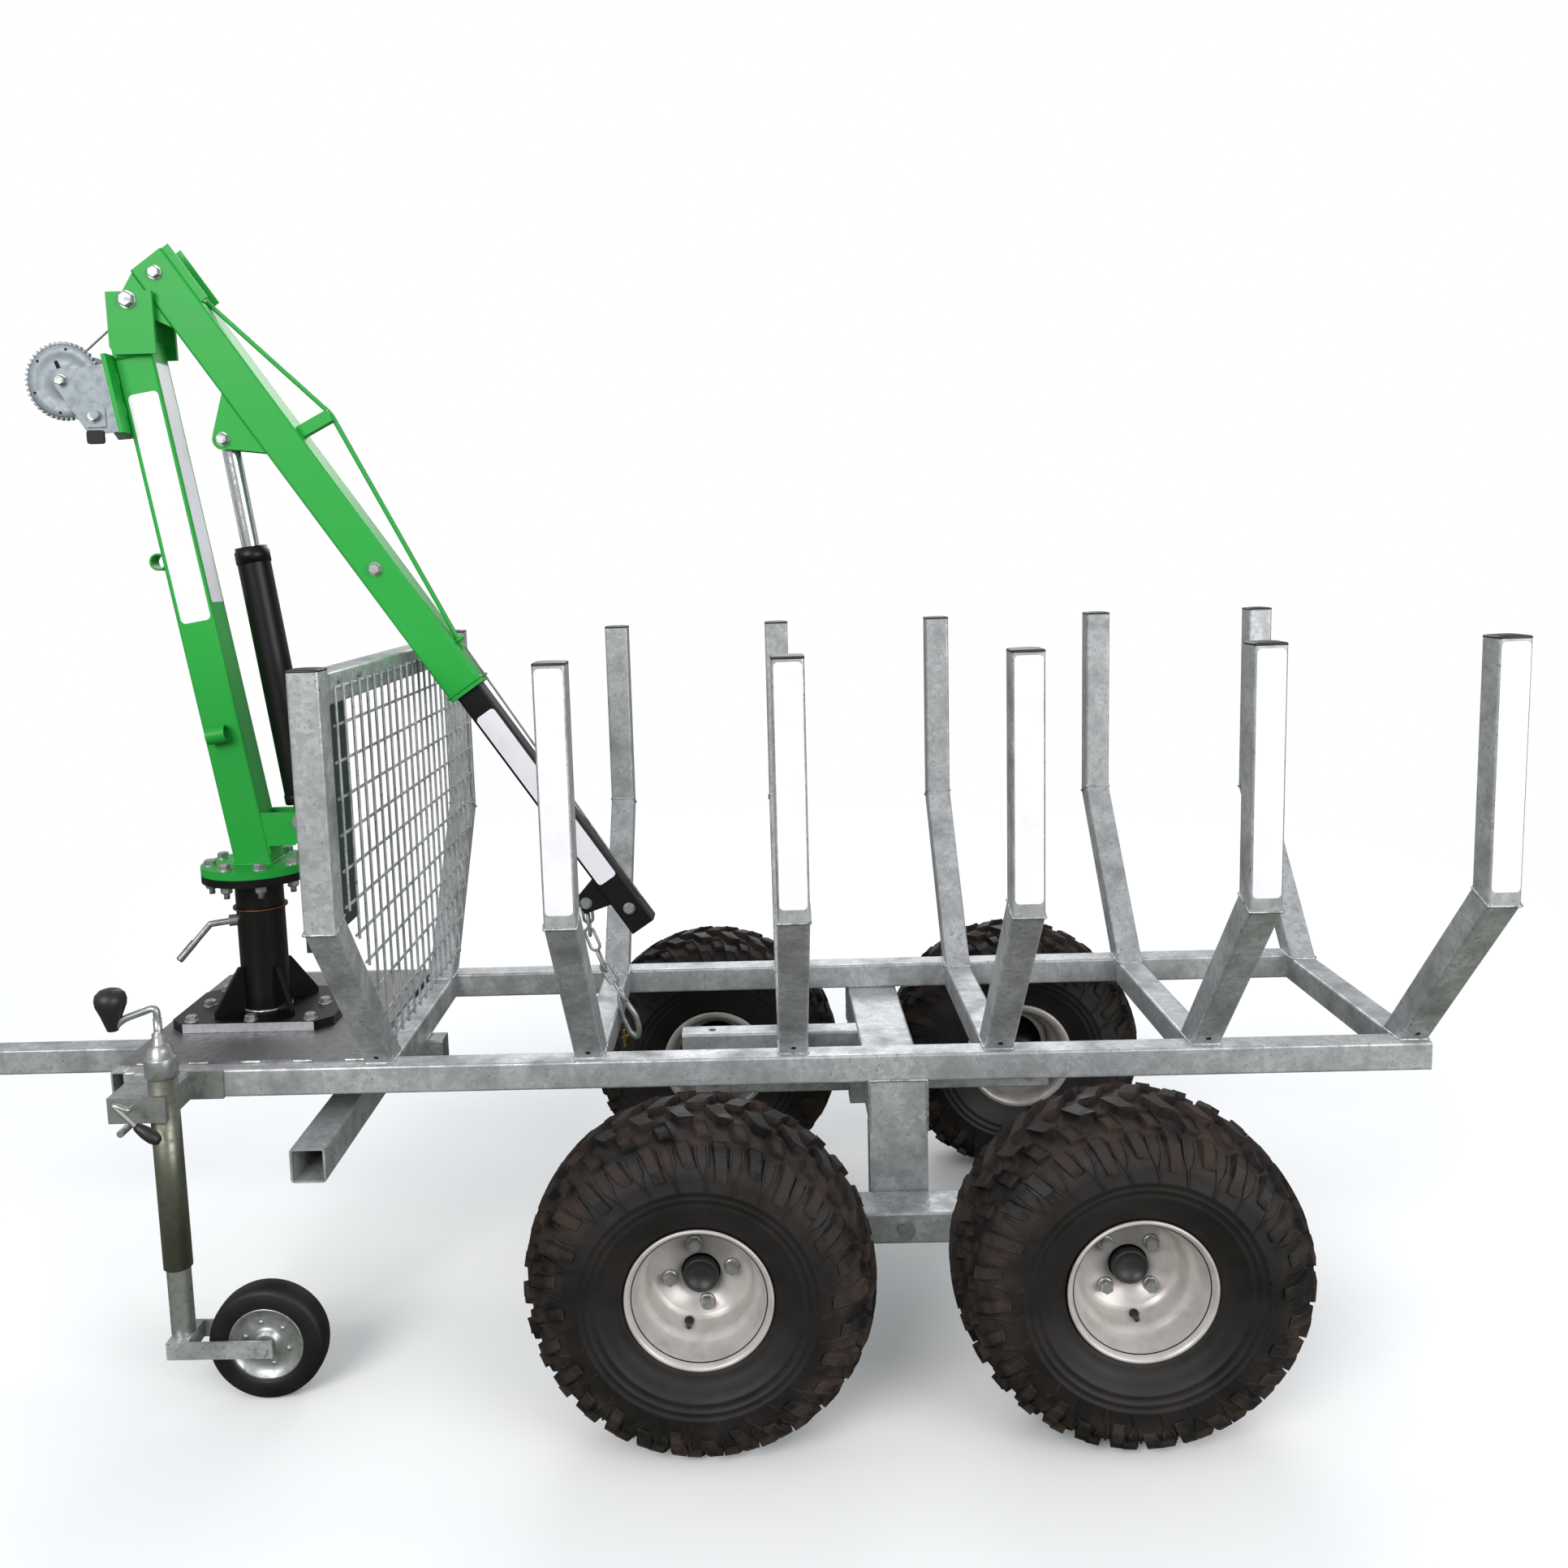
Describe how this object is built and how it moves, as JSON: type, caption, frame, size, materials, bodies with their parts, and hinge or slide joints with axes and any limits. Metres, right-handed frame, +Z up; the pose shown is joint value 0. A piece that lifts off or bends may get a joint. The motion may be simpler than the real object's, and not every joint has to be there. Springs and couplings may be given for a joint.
{
  "type": "forestry crane trailer",
  "caption": "Quad-bike forestry trailer with a ladder frame, six pairs of raked stakes, a tandem walking-beam bogie, a jockey wheel and a slewing crane whose telescopic boom has a winch and a lift ram.",
  "frame": {"origin": "on the ground, midway along the whole length and on the centre line", "axes": "+X towards the rear and +Z up; the jockey wheel stands at -Y, which is the left-hand side for a driver who looks forward"},
  "size_m": [2.89, 1.22, 1.9907],
  "materials": {
    "galvanised": "hot-dip galvanised, spangled",
    "green_paint": "gloss green powder coat",
    "black_paint": "semi-gloss black paint",
    "bright_zinc": "bright zinc plate",
    "yellow_zinc": "yellow passivated zinc plate",
    "chromed_rod": "polished hard chrome",
    "black_plastic": "satin moulded polyethylene",
    "green_plastic": "satin moulded plastic",
    "rim_steel": "silver paint",
    "tyre_rubber": "matt moulded rubber"
  },
  "bodies": {
    "frame": {"side_rails": "galvanised", "front_crossmember": "galvanised", "cross_tubes": "galvanised", "deck_plate": "galvanised", "centre_beams": "galvanised", "stabiliser_receiver": "galvanised", "coupling_head": "bright_zinc", "stake_feet": "galvanised", "stake_posts": "galvanised", "stake_caps": "black_plastic", "headboard_rail": "galvanised", "headboard_mesh": "galvanised", "saw_scabbards": "green_plastic", "axle_beam": "galvanised", "axle_legs": "galvanised", "walking_beams": "galvanised", "bogie_pins": "bright_zinc", "crane_post": "black_paint", "slew_lock_lever": "bright_zinc", "jockey_clamp": "bright_zinc", "jockey_outer_tube": "yellow_zinc"},
    "wheel_front_left": {"tyre_front_left": "tyre_rubber", "rim_front_left": "rim_steel"},
    "wheel_front_right": {"tyre_front_right": "tyre_rubber", "rim_front_right": "rim_steel"},
    "wheel_rear_left": {"tyre_rear_left": "tyre_rubber", "rim_rear_left": "rim_steel"},
    "wheel_rear_right": {"tyre_rear_right": "tyre_rubber", "rim_rear_right": "rim_steel"},
    "mast": {"slew_sleeve": "black_paint", "mast_flange": "green_paint", "mast": "green_paint", "mast_brackets": "green_paint", "winch_frame": "bright_zinc", "winch_drum": "bright_zinc"},
    "boom": {"boom_tube": "green_paint", "boom_brackets": "green_paint", "head_sheave": "bright_zinc"},
    "extension": {"boom_extension": "black_paint", "tip_bracket": "black_paint", "grab_hook": "bright_zinc"},
    "ram_barrel": {"ram_barrel": "black_paint"},
    "ram_rod": {"ram_rod": "chromed_rod"},
    "jockey_leg": {"jockey_inner_tube": "bright_zinc"},
    "jockey_fork": {"jockey_fork": "galvanised"},
    "jockey_wheel": {"jockey_wheel": "tyre_rubber"}
  },
  "joints": [
    {"name": "wheel_front_left_spin", "type": "hinge", "parent": "frame", "child": "wheel_front_left", "pos_m": [0.1945, -0.4955, 0.2795], "axis": [0, 1, 0], "continuous": true},
    {"name": "wheel_front_right_spin", "type": "hinge", "parent": "frame", "child": "wheel_front_right", "pos_m": [0.1945, 0.4955, 0.2795], "axis": [0, 1, 0], "continuous": true},
    {"name": "wheel_rear_left_spin", "type": "hinge", "parent": "frame", "child": "wheel_rear_left", "pos_m": [0.8715, -0.4955, 0.2795], "axis": [0, 1, 0], "continuous": true},
    {"name": "wheel_rear_right_spin", "type": "hinge", "parent": "frame", "child": "wheel_rear_right", "pos_m": [0.8715, 0.4955, 0.2795], "axis": [0, 1, 0], "continuous": true},
    {"name": "slew", "type": "hinge", "parent": "frame", "child": "mast", "pos_m": [-0.655, 0, 0.85], "axis": [0, 0, 1], "range_deg": [-12, 12]},
    {"name": "boom_lift", "type": "hinge", "parent": "mast", "child": "boom", "pos_m": [-0.794, 0, 1.892], "axis": [0, -1, 0], "range_deg": [0, 62]},
    {"name": "boom_extend", "type": "slide", "parent": "boom", "child": "extension", "axis": [0.5592, 0, -0.829], "range_m": [0, 0.15]},
    {"name": "ram_pivot", "type": "hinge", "parent": "mast", "child": "ram_barrel", "pos_m": [-0.555, 0, 0.9345], "axis": [0, 1, 0], "range_deg": [0, 11]},
    {"name": "ram_stroke", "type": "slide", "parent": "ram_barrel", "child": "ram_rod", "axis": [-0.1301, 0, 0.9915], "range_m": [0, 0.26]},
    {"name": "jockey_height", "type": "slide", "parent": "frame", "child": "jockey_leg", "axis": [0, 0, 1], "range_m": [0, 0.11]},
    {"name": "jockey_swivel", "type": "hinge", "parent": "jockey_leg", "child": "jockey_fork", "pos_m": [-0.705, -0.365, 0.1], "axis": [0, 0, 1], "continuous": true},
    {"name": "jockey_spin", "type": "hinge", "parent": "jockey_fork", "child": "jockey_wheel", "pos_m": [-0.557, -0.365, 0.1], "axis": [0, 1, 0], "continuous": true}
  ],
  "couplings": [
    {"joint": "ram_pivot", "follows": "boom_lift", "ratio": 0.1657},
    {"joint": "ram_stroke", "follows": "boom_lift", "m_per_rad": 0.23544}
  ]
}
